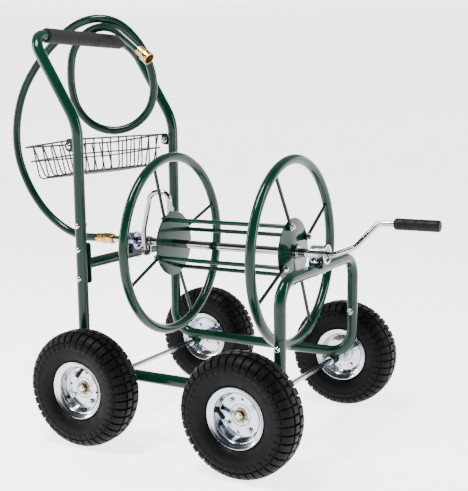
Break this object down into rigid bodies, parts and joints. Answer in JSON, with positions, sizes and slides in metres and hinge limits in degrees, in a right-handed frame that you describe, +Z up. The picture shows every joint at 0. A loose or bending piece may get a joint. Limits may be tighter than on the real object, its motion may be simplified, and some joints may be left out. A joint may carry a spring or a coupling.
{
  "type": "garden hose reel cart",
  "caption": "Wheeled tube-frame cart with a crank-wound open hose reel, push handle with foam grip, wire basket and a short leader hose with brass fittings.",
  "frame": {"origin": "on the ground under the middle of the cart, measured without the leader hose", "axes": "+X forward to the crank end, +Y to the left side, along the axles, +Z up"},
  "size_m": [1.1038, 0.625, 0.9642],
  "materials": {
    "green_paint": "gloss dark green powder coat",
    "basket_wire": "semi-gloss near-black green coated wire",
    "zinc_plate": "bright zinc plate",
    "yellow_zinc": "yellow passivated zinc plate",
    "chrome_plate": "polished plate",
    "brass_fitting": "machined brass",
    "tyre_rubber": "matte black block-tread rubber",
    "grip_rubber": "satin black rubber",
    "foam_grip": "matte dark grey closed-cell foam",
    "hose_vinyl": "gloss dark green vinyl"
  },
  "bodies": {
    "frame": {"right_side_frame": "green_paint", "right_handle_joint_bolt": "zinc_plate", "right_hoop_joint_bolt": "zinc_plate", "right_cross_member_lower_bolt": "zinc_plate", "right_cross_member_upper_bolt": "zinc_plate", "right_basket_bolt": "zinc_plate", "left_side_frame": "green_paint", "left_handle_joint_bolt": "zinc_plate", "left_hoop_joint_bolt": "zinc_plate", "left_cross_member_lower_bolt": "zinc_plate", "left_cross_member_upper_bolt": "zinc_plate", "left_basket_bolt": "zinc_plate", "handle_loop": "green_paint", "front_hoop": "green_paint", "rear_cross_member": "green_paint", "front_bearing_block": "zinc_plate", "rear_swivel_bearing": "zinc_plate", "handle_foam_grip": "foam_grip", "wire_basket": "basket_wire", "rear_right_axle_nut": "yellow_zinc", "rear_left_axle_nut": "yellow_zinc", "front_right_axle_nut": "yellow_zinc", "front_left_axle_nut": "yellow_zinc", "rear_axle": "zinc_plate", "front_axle": "zinc_plate", "water_inlet_pipe": "chrome_plate", "inlet_brass_nut": "brass_fitting", "hose_start_ferrule": "brass_fitting", "hose_end_tail": "brass_fitting", "leader_hose": "hose_vinyl"},
    "rear_right_wheel": {"rear_right_tyre": "tyre_rubber", "rear_right_rim_outer": "zinc_plate", "rear_right_rim_inner": "zinc_plate", "rear_right_hub": "zinc_plate"},
    "rear_left_wheel": {"rear_left_tyre": "tyre_rubber", "rear_left_rim_outer": "zinc_plate", "rear_left_rim_inner": "zinc_plate", "rear_left_hub": "zinc_plate"},
    "front_right_wheel": {"front_right_tyre": "tyre_rubber", "front_right_rim_outer": "zinc_plate", "front_right_rim_inner": "zinc_plate", "front_right_hub": "zinc_plate"},
    "front_left_wheel": {"front_left_tyre": "tyre_rubber", "front_left_rim_outer": "zinc_plate", "front_left_rim_inner": "zinc_plate", "front_left_hub": "zinc_plate"},
    "reel": {"reel_shaft": "chrome_plate", "rear_reel_ring": "green_paint", "front_reel_ring": "green_paint", "rear_hub_disc": "green_paint", "front_hub_disc": "green_paint", "reel_tie_bar_1": "green_paint", "reel_tie_bar_2": "green_paint", "reel_tie_bar_3": "green_paint", "reel_tie_bar_4": "green_paint", "gooseneck_pipe": "chrome_plate", "crank_arm": "chrome_plate"},
    "crank_handle": {"crank_grip": "grip_rubber"},
    "hose_end_nut": {"hose_end_swivel_nut": "brass_fitting"}
  },
  "joints": [
    {"name": "rear_right_wheel_spin", "type": "hinge", "parent": "frame", "child": "rear_right_wheel", "pos_m": [-0.238, -0.2705, 0.13], "axis": [0, 1, 0], "continuous": true},
    {"name": "rear_left_wheel_spin", "type": "hinge", "parent": "frame", "child": "rear_left_wheel", "pos_m": [-0.238, 0.2705, 0.13], "axis": [0, 1, 0], "continuous": true},
    {"name": "front_right_wheel_spin", "type": "hinge", "parent": "frame", "child": "front_right_wheel", "pos_m": [0.1555, -0.2705, 0.13], "axis": [0, 1, 0], "continuous": true},
    {"name": "front_left_wheel_spin", "type": "hinge", "parent": "frame", "child": "front_left_wheel", "pos_m": [0.1555, 0.2705, 0.13], "axis": [0, 1, 0], "continuous": true},
    {"name": "reel_spin", "type": "hinge", "parent": "frame", "child": "reel", "pos_m": [0, 0, 0.42], "axis": [1, 0, 0], "continuous": true},
    {"name": "crank_grip_spin", "type": "hinge", "parent": "reel", "child": "crank_handle", "pos_m": [0.408, 0.04, 0.48928], "axis": [1, 0, 0], "continuous": true},
    {"name": "hose_end_nut_spin", "type": "hinge", "parent": "frame", "child": "hose_end_nut", "pos_m": [-0.26939, 0.04759, 0.85854], "axis": [0.799, -0.0499, -0.5993], "continuous": true}
  ]
}
